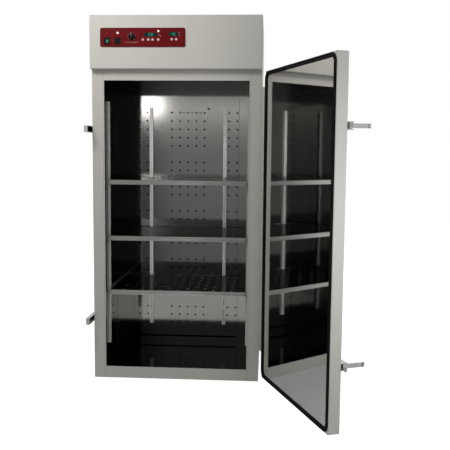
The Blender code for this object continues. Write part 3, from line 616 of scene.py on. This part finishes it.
def buildUprights():
    pitch = uprightValues["pitch"]
    sheet = uprightValues["sheet"]
    for name in ("upright_rear_left", "upright_rear_right"):
        low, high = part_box(name)
        middle = (low + high) / 2
        turn = Matrix.Rotation(math.pi / 2, 4, "X")
        bm = upright(Matrix.Translation((middle.x, low.y + sheet, middle.z)) @ turn, high.x - low.x,
                     high.y - low.y, high.z - low.z, pitch)
        addPiece(name.replace("_", "") + "Slotted", bm, "cabinet", uprightSteel, (name,))
    for name, side in (("upright_front_left", 1), ("upright_front_right", -1)):
        low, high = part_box(name)
        middle = (low + high) / 2
        face = high.x - sheet if side > 0 else low.x + sheet
        turn = Matrix.Rotation(side * math.pi / 2, 4, "Z") @ Matrix.Rotation(math.pi / 2, 4, "X")
        bm = upright(Matrix.Translation((face, middle.y, middle.z)) @ turn, high.y - low.y, high.x - low.x,
                     high.z - low.z, pitch)
        addPiece(name.replace("_", "") + "Slotted", bm, "cabinet", uprightSteel, (name,))


# shelves and their clips
shelfValues = {"half": 0.380, "sheet": 0.0015, "drop": 0.025, "holeRadius": 0.0100, "pitch": 0.1016,
               "rowPitch": 0.0508, "margin": 0.024, "columns": 7}


def buildShelf(node):
    low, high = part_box(node)
    top = high.z - 0.0002
    half = shelfValues["half"]
    sheet = shelfValues["sheet"]
    width = 2 * half
    depth = high.y - low.y - 0.0025
    centre = (low.y + 0.002 + high.y - 0.0005) / 2
    holes = []
    rows = int((depth - 2 * shelfValues["margin"]) / shelfValues["rowPitch"])
    for row in range(rows + 1):
        y = -rows * shelfValues["rowPitch"] / 2 + row * shelfValues["rowPitch"]
        shift = shelfValues["pitch"] / 2 if row % 2 else 0.0
        count = shelfValues["columns"] - row % 2
        for column in range(count):
            x = (column - (shelfValues["columns"] - 1) / 2) * shelfValues["pitch"] + shift
            holes.append((x, y, shelfValues["holeRadius"]))
    bm = plate(width - 0.001, depth, sheet, holes)
    place(bm, Matrix.Translation((0, centre, top - sheet)))
    deckFaces = len(bm.faces)
    # folded front lip: a rounded upper roll, a groove, and a lower band turned under
    x0, x1, y0 = low.x, high.x, low.y
    bottom = top - shelfValues["drop"]
    block((x0, y0, top - 0.0098), (x1, y0 + 0.0085, top), bm, 0.0016)
    block((x0 + 0.0005, y0 + 0.0022, top - 0.0122), (x1 - 0.0005, y0 + 0.0038, top - 0.0092), bm)
    block((x0, y0 + 0.0006, bottom), (x1, y0 + 0.0022, top - 0.0118), bm, 0.0005)
    block((x0, y0 + 0.0008, bottom), (x1, y0 + 0.0118, top - 0.0236), bm, 0.0005)
    for side in (-1, 1):
        xs = sorted((side * half, side * (half - sheet)))
        block((xs[0], low.y + 0.013, top - 0.014), (xs[1], high.y - 0.002, top - 0.0004), bm, 0.0004)
    block((-half + 0.001, high.y - sheet, top - 0.014), (half - 0.001, high.y, top - 0.0004), bm, 0.0004)
    # the lip faces take the painted lit copy of the steel, and the deck the painted shaded copy
    bm.faces.ensure_lookup_table()
    for face in bm.faces[deckFaces:]:
        face.material_index = 1
    shelf = addPiece(node.replace("_", "") + "Perforated", bm, node, shadedShelfSteel, (node,))
    shelf.data.materials.append(litLipSteel)


def buildClips():
    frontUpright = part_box("upright_front_left")
    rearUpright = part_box("upright_rear_right")
    for number in (1, 2, 3):
        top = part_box("shelf_%d" % number)[1].z - 0.0002
        seat = top - 0.0148
        y = (frontUpright[0].y + frontUpright[1].y) / 2
        for side, name in ((-1, "Left"), (1, "Right")):
            wall = side * (-frontUpright[1].x)
            reach = wall - side * 0.024
            xs = sorted((wall - side * 0.0003, reach))
            bm = block((xs[0], y - 0.008, seat - 0.0016), (xs[1], y + 0.008, seat), bevel=0.0004)
            ws = sorted((wall - side * 0.0003, wall - side * 0.0018))
            block((ws[0], y - 0.008, seat - 0.016), (ws[1], y + 0.008, seat - 0.0012), bm, 0.0004)
            addPiece("clip%dFront%s" % (number, name), bm, "cabinet", plated)
            x = side * (rearUpright[0].x + rearUpright[1].x) / 2
            back = rearUpright[0].y
            x0, x1, near = x - 0.007, x + 0.007, back - 0.0003
            bm = block((x0, back - 0.028, seat - 0.0016), (x1, near, seat), bevel=0.0004)
            block((x0, back - 0.0018, seat - 0.016), (x1, near, seat - 0.0012), bm, 0.0004)
            addPiece("clip%dRear%s" % (number, name), bm, "cabinet", plated)


buildDuct()
buildSideLining("liningLeft", -1, "liner_left")
buildSideLining("liningRight", 1, "liner_right")
buildLiningScrews()
buildUprights()
for shelfName in ("shelf_1", "shelf_2", "shelf_3"):
    buildShelf(shelfName)
buildClips()
print("chamber ready")


# front frame
# the seal entries place a dark grey line of painted shadow in the seam beside each strip
trimValues = {"strip": (0.0002, 0.0062), "stripFront": 0.0004, "seal": (0.0063, 0.0073), "shadowFront": 0.0003,
              "back": 0.00005, "bottom": 0.004, "gap": 0.002}


def buildOpeningTrim():
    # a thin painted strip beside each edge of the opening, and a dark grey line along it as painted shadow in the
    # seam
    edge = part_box("stile_right")[0].x
    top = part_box("rail_top")[1].z - trimValues["gap"]
    trim = bmesh.new()
    seal = bmesh.new()
    for side in (-1, 1):
        for span, rise, bm in (("strip", "stripFront", trim), ("seal", "shadowFront", seal)):
            xs = sorted(side * (edge + offset) for offset in trimValues[span])
            block((xs[0], front - trimValues[rise], trimValues["bottom"]),
                  (xs[1], front - trimValues["back"], top), bm)
    addPiece("openingTrim", trim, "cabinet", paint)
    addPiece("trimSeamShadow", seal, "cabinet", seamShadow)


buildOpeningTrim()


# door, drawn shut
gasketValues = {"x0": -0.4165, "x1": 0.4285, "z0": 0.0445, "z1": 1.6915, "corner": 0.045, "width": 0.020,
                "seat": -0.0077, "face": -0.001}


def doorGasket():
    # a double-lip section swept round the door as a flat closed curve
    values = gasketValues
    half = values["width"] / 2
    x0, x1 = values["x0"] + half, values["x1"] - half
    z0, z1 = values["z0"] + half, values["z1"] - half
    radius = values["corner"] - half
    path = bpy.data.curves.new("gasketPath", "CURVE")
    path.dimensions = "2D"
    path.fill_mode = "NONE"
    points = []
    for cx, cz, first in ((x1 - radius, z1 - radius, 0), (x0 + radius, z1 - radius, 90),
                          (x0 + radius, z0 + radius, 180), (x1 - radius, z0 + radius, 270)):
        for step in range(9):
            angle = math.radians(first + 90 * step / 8)
            points.append((cx + radius * math.cos(angle), cz + radius * math.sin(angle)))
    spline = path.splines.new("POLY")
    spline.points.add(len(points) - 1)
    for point, (x, z) in zip(spline.points, points):
        point.co = (x, z, 0, 1)
    spline.use_cyclic_u = True
    deep = values["face"] - values["seat"]
    section = bpy.data.curves.new("gasketSection", "CURVE")
    section.dimensions = "2D"
    outline = ((-half, 0.0), (half, 0.0), (half, 0.55 * deep), (0.80 * half, 0.92 * deep),
               (0.55 * half, deep), (0.30 * half, 0.90 * deep), (0.14 * half, 0.50 * deep),
               (-0.14 * half, 0.50 * deep),
               (-0.30 * half, 0.90 * deep), (-0.55 * half, deep), (-0.80 * half, 0.92 * deep),
               (-half, 0.55 * deep))
    ring = section.splines.new("POLY")
    ring.points.add(len(outline) - 1)
    for point, (x, y) in zip(ring.points, outline):
        point.co = (x, y, 0, 1)
    ring.use_cyclic_u = True
    sectionObject = bpy.data.objects.new("gasketSection", section)
    scene.collection.objects.link(sectionObject)
    path.bevel_mode = "OBJECT"
    path.bevel_object = sectionObject
    pathObject = bpy.data.objects.new("gasketPath", path)
    scene.collection.objects.link(pathObject)
    bpy.context.view_layer.update()
    mesh = bpy.data.meshes.new_from_object(pathObject.evaluated_get(bpy.context.evaluated_depsgraph_get()))
    bpy.data.objects.remove(pathObject)
    bpy.data.objects.remove(sectionObject)
    bm = bmesh.new()
    bm.from_mesh(mesh)
    bpy.data.meshes.remove(mesh)
    bmesh.ops.remove_doubles(bm, verts=bm.verts, dist=0.00001)
    heights = [vert.co.z for vert in bm.verts]
    if max(heights) > abs(min(heights)):  # the section has to stand towards the cabinet
        bmesh.ops.scale(bm, verts=bm.verts, vec=(1, 1, -1))
    # X stays, the curve's Y becomes Z, and its depth goes towards the cabinet
    bmesh.ops.rotate(bm, verts=bm.verts, cent=(0, 0, 0), matrix=Matrix.Rotation(math.pi / 2, 3, "X"))
    bmesh.ops.translate(bm, verts=bm.verts, vec=(0, front + values["seat"], 0))
    addPiece("doorGasket", bm, "door", rubber, ("door_gasket",), doorTurn)


hingeValues = {"count": 16, "bottom": 0.246, "pitch": 0.0875, "leafX": 0.4475, "leafY": 0.0083,
               "edgeX": 0.4333, "edgeY": 0.036, "screwX": 0.4633, "screwY": 0.026, "lift": 0.0007,
               "depth": 0.0014,
               "radius": 0.0032, "leafRadius": 0.0028, "crown": 0.0006}


def buildHingeRivets():
    values = hingeValues
    lift, depth, radius, crown = (values[key] for key in ("lift", "depth", "radius", "crown"))
    rivets = bmesh.new()
    screws = bmesh.new()
    for index in range(values["count"]):
        z = values["bottom"] + index * values["pitch"]
        leafPlace = (values["leafX"], front - values["leafY"] + lift, z)
        disc(leafPlace, values["leafRadius"], depth, "-Y", rivets, 14, crown)
        disc((values["edgeX"] + lift, front - values["edgeY"], z), radius, depth, "X", rivets, 14, crown)
        disc((values["screwX"] + lift, front + values["screwY"], z), radius, depth, "X", screws, 14, crown)
    addPiece("hingeRivets", rivets, "door", plated, turn=doorTurn)
    addPiece("hingeScrews", screws, "cabinet", plated)


latchValues = {"places": (("Upper", 1.386), ("Lower", 0.342)), "hub": 0.0099, "turnX": -0.395,
               "turnY": 0.0852, "screwXs": (-0.408, -0.357), "screwZ": 0.0085, "screwY": 0.0673,
               "bandXs": (-0.3105, -0.3080),
               "bandHalf": 0.0104}


def buildLatchDetails():
    values = latchValues
    for placeName, z in values["places"]:
        bm = bmesh.new()
        for x in values["screwXs"]:
            for dz in (-values["screwZ"], values["screwZ"]):
                disc((x, front - values["screwY"], z + dz), 0.0026, 0.0014, "Y", bm, 14, 0.0006)
        addPiece("latchScrews" + placeName, bm, "door", plated, turn=doorTurn)
        # a dark band near the tip of the lever, which is stored turned back from its shut position
        hub = Matrix.Translation((values["turnX"], front - values["turnY"], z))
        leverTurn = doorTurn @ hub @ Matrix.Rotation(-math.pi / 2, 4, "Z") @ hub.inverted()
        bandY = front - values["turnY"] - values["hub"]
        band = block((values["bandXs"][0], bandY - 0.0004, z - values["bandHalf"]),
                     (values["bandXs"][1], bandY + 0.0086, z + values["bandHalf"]))
        addPiece("leverBand" + placeName, band, "lever_" + placeName.lower(), blackPlastic,
                 turn=leverTurn, bevel=0.0003)
        # painted shade: a thin black sheet near the back of each keeper's pocket, standing for the shade inside it
        keeperLow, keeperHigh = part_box("keeper_" + placeName.lower())
        pocketShade = block((keeperLow.x + 0.0026, keeperLow.y + 0.003, keeperLow.z + 0.001),
                    (keeperLow.x + 0.0029, keeperHigh.y - 0.002, keeperHigh.z - 0.001))
        addPiece("keeperPocketShade" + placeName, pocketShade, "cabinet", rubber)


flangeValues = {"outer": (-0.4184, 0.0426, 0.4304, 1.6934, 0.0046),
                "inner": (-0.4140, 0.0470, 0.4260, 1.6890, 0.0425), "y": 0.0078, "thickness": 0.0006}


def buildDoorFlange():
    # the painted pan is folded back over the lining, and its rim shows outside the gasket
    ring = roundedRing(flangeValues["outer"], flangeValues["inner"], front - flangeValues["y"],
                       flangeValues["thickness"])
    addPiece("doorFlange", ring, "door", paint, turn=doorTurn)


doorGasket()
buildDoorFlange()
buildHingeRivets()
buildLatchDetails()
print("door ready")


# header and controls
panelLow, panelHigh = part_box("control_panel")
panelY = panelLow.y


def buildPanelBorder():
    def grown(by, radius):
        return (panelLow.x - by, panelLow.z - by, panelHigh.x + by, panelHigh.z + by, radius)

    rim = roundedRing(grown(0.0022, 0.0122), grown(0.0003, 0.0103), panelHigh.y - 0.0020, 0.0019)
    addPiece("panelBorder", rim, "cabinet", palePlastic)
    # painted shadow: a thin black ring just inside the facia's edge, for the shadow along its rim
    line = roundedRing(grown(-0.0002, 0.0098), grown(-0.0026, 0.0074), panelY - 0.0004, 0.0003)
    addPiece("panelEdgeShadow", line, "cabinet", blackPlastic)


markValues = {"ticks": 11, "first": -135, "step": 27, "start": 0.0195, "long": 0.0045, "short": 0.0028,
              "dots": ((0.0220, 1.8930), (0.0220, 1.8790), (-0.0860, 1.8800), (-0.0780, 1.8740)),
              "lamp": (-0.0895, 1.9006), "socket": (-0.2325, 1.8316)}


def buildPanelMarks():
    # plain strokes and dots, with no lettering
    knobLow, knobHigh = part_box("control_knob")
    centre = (knobLow + knobHigh) / 2
    bm = bmesh.new()
    start = markValues["start"]
    for index in range(markValues["ticks"]):
        angle = math.radians(markValues["first"] + markValues["step"] * index)
        reach = markValues["long"] if index % 5 == 0 else markValues["short"]
        tick = block((-0.0006, -0.0002, start), (0.0006, 0.0, start + reach))
        seat = Matrix.Translation((centre.x, panelY - 0.0001, centre.z))
        place(tick, seat @ Matrix.Rotation(angle, 4, "Y"))
        merge(bm, tick)
    block((centre.x - 0.038, panelY - 0.0003, centre.z - 0.0295),
          (centre.x + 0.038, panelY - 0.0001, centre.z - 0.0288), bm)
    block((centre.x - 0.030, panelY - 0.0003, centre.z - 0.0330),
          (centre.x + 0.030, panelY - 0.0001, centre.z - 0.0324), bm)
    for x, z in markValues["dots"]:
        disc((x, panelY - 0.0002, z), 0.0020, 0.0002, "Y", bm, 12)
    addPiece("panelMarks", bm, "cabinet", ink)
    lampX, lampZ = markValues["lamp"]
    lamp = disc((lampX, panelY - 0.0011, lampZ), 0.0055, 0.0020, "Y", None, 24, 0.0008)
    addPiece("statusLamp", lamp, "cabinet", clearLens)
    socketX, socketZ = markValues["socket"]
    dot = disc((socketX, panelY - 0.0006, socketZ), 0.0030, 0.0010, "Y", None, 18, 0.0003)
    addPiece("panelSocket", dot, "cabinet", blackPlastic)


def buildButtonRings():
    for index in range(1, 7):
        low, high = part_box("button_%d" % index)
        centre = (low + high) / 2
        bm = bmesh.new()
        bmesh.ops.create_circle(bm, segments=28, radius=0.0063)
        bmesh.ops.create_circle(bm, segments=28, radius=0.0050)
        bmesh.ops.triangle_fill(bm, edges=list(bm.edges), use_beauty=True)
        raised = bmesh.ops.extrude_face_region(bm, geom=list(bm.faces))
        bmesh.ops.translate(bm, verts=movedVerts(raised), vec=(0, 0, 0.0005))
        seat = Matrix.Translation((centre.x, panelY - 0.0001, centre.z))
        place(bm, seat @ Matrix.Rotation(math.pi / 2, 4, "X"))
        look = palePlastic if index in (2, 3, 5, 6) else ink
        addPiece("buttonRing%d" % index, bm, "cabinet", look)


segmentsOf = {"0": "abcdef", "3": "abcdg", "4": "bcfg", "7": "abc"}


def buildDigits(name, node, text):
    low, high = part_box(node)
    height = (high.z - low.z) * 0.62
    width = height * 0.55
    stroke = height * 0.12
    step = width * 1.5
    y = low.y
    start = (low.x + high.x) / 2 - step * (len(text.replace(".", "")) - 1) / 2
    bm = bmesh.new()
    column = 0
    for letter in text:
        if letter == ".":
            x = start + (column - 0.5) * step
            disc((x, y - 0.0002, (low.z + high.z) / 2 - height / 2), stroke * 0.7, 0.0002, "Y", bm, 10)
            continue
        x = start + column * step
        z = (low.z + high.z) / 2
        w, h, s = width / 2, height / 2, stroke / 2
        bars = {"a": (-w, h - s, w, h + s), "g": (-w, -s, w, s), "d": (-w, -h - s, w, -h + s),
                "b": (w - s, s, w + s, h - s), "c": (w - s, -h + s, w + s, -s),
                "f": (-w - s, s, -w + s, h - s), "e": (-w - s, -h + s, -w + s, -s)}
        for key in segmentsOf[letter]:
            x0, z0, x1, z1 = bars[key]
            block((x + x0 + s * 0.3, y - 0.0003, z + z0 + s * 0.2),
                  (x + x1 - s * 0.3, y - 0.0001, z + z1 - s * 0.2), bm)
        column += 1
    addPiece(name, bm, "cabinet", digitGlow)


bezelValues = {"half": (0.0155, 0.0178), "open": (0.0096, 0.0137), "corner": 0.0010, "openCorner": 0.0008,
               "rise": 0.0030, "thickness": 0.0028}


def buildRockerBezels():
    halfX, halfZ = bezelValues["half"]
    openX, openZ = bezelValues["open"]
    for name, node in (("bezelPower", "rocker_power"), ("bezelLight", "rocker_light")):
        low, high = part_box(node)
        centre = (low + high) / 2
        outer = (centre.x - halfX, centre.z - halfZ, centre.x + halfX, centre.z + halfZ,
                 bezelValues["corner"])
        inner = (centre.x - openX, centre.z - openZ, centre.x + openX, centre.z + openZ,
                 bezelValues["openCorner"])
        ring = roundedRing(outer, inner, panelY - bezelValues["rise"], bezelValues["thickness"])
        addPiece(name, ring, "cabinet", blackPlastic, bevel=0.0006)


def buildRockerWindow():
    joint = [item for item in frame["joints"] if item["name"] == "rocker_power_tilt"][0]
    pivot = Vector(joint["pos_m"])
    bm = bmesh.new()
    for side in (-1, 1):  # one half window on each slope of the rocker's face
        zs = sorted((side * 0.0004, side * 0.0072))
        half = block((-0.0062, -0.0007, zs[0]), (0.0062, -0.0001, zs[1]))
        slope = Matrix.Rotation(side * math.radians(6.96), 4, "X")
        place(half, Matrix.Translation((0, -0.0034, 0)) @ slope)
        merge(bm, half)
    place(bm, Matrix.Translation(pivot) @ Matrix.Rotation(math.radians(9), 4, "X"))
    addPiece("rockerWindow", bm, "rocker_power", greenPlastic, bevel=0.0002)


def buildKnobDetails():
    low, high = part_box("control_knob")
    centre = (low + high) / 2
    line = block((centre.x - 0.0008, low.y - 0.0003, centre.z + 0.002),
                 (centre.x + 0.0008, low.y - 0.0001, centre.z + 0.0150))
    addPiece("knobPointer", line, "knob", ink)


rearValues = {"louvreXs": (-0.12, 0.12, 0.30), "louvreRows": 7, "louvrePitch": 0.022, "louvreFirst": 0.075,
              "headerXs": (-0.44, -0.15, 0.15, 0.44), "backXs": (-0.44, 0.0, 0.44), "backRows": 6,
              "pins": ((-0.007, -0.002), (0.007, -0.002), (0.0, 0.004))}


def buildRearDetails():
    low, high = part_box("header_rear")
    y = high.y
    bm = bmesh.new()
    for column in rearValues["louvreXs"]:
        for row in range(rearValues["louvreRows"]):
            z = low.z + rearValues["louvreFirst"] + row * rearValues["louvrePitch"]
            block((column - 0.05, y + 0.0001, z), (column + 0.05, y + 0.0040, z + 0.008), bm, 0.0018)
    addPiece("rearLouvres", bm, "cabinet", paint)
    screws = bmesh.new()
    for x in rearValues["headerXs"]:
        for z in (low.z + 0.015, high.z - 0.015):
            disc((x, y + 0.0009, z), 0.0038, 0.0016, "-Y", screws, 16, 0.0007)
    backLow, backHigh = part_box("back_panel")
    for x in rearValues["backXs"]:
        for index in range(rearValues["backRows"]):
            z = backLow.z + 0.03 + index * (backHigh.z - backLow.z - 0.06) / (rearValues["backRows"] - 1)
            disc((x, backHigh.y + 0.0009, z), 0.0038, 0.0016, "-Y", screws, 16, 0.0007)
    addPiece("rearScrews", screws, "cabinet", plated)
    inletLow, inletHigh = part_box("power_inlet")
    centre = (inletLow + inletHigh) / 2
    pins = bmesh.new()
    for dx, dz in rearValues["pins"]:
        block((centre.x + dx - 0.001, inletLow.y + 0.0040, centre.z + dz - 0.002),
              (centre.x + dx + 0.001, inletHigh.y - 0.002, centre.z + dz + 0.002), pins, 0.0003)
    addPiece("inletPins", pins, "cabinet", plated)


buildPanelBorder()
buildPanelMarks()
buildButtonRings()
buildDigits("digitsChamber", "display_chamber", "37.0")
buildDigits("digitsLimit", "display_limit", "40")
buildRockerBezels()
buildRockerWindow()
buildKnobDetails()
buildRearDetails()
print("header ready")
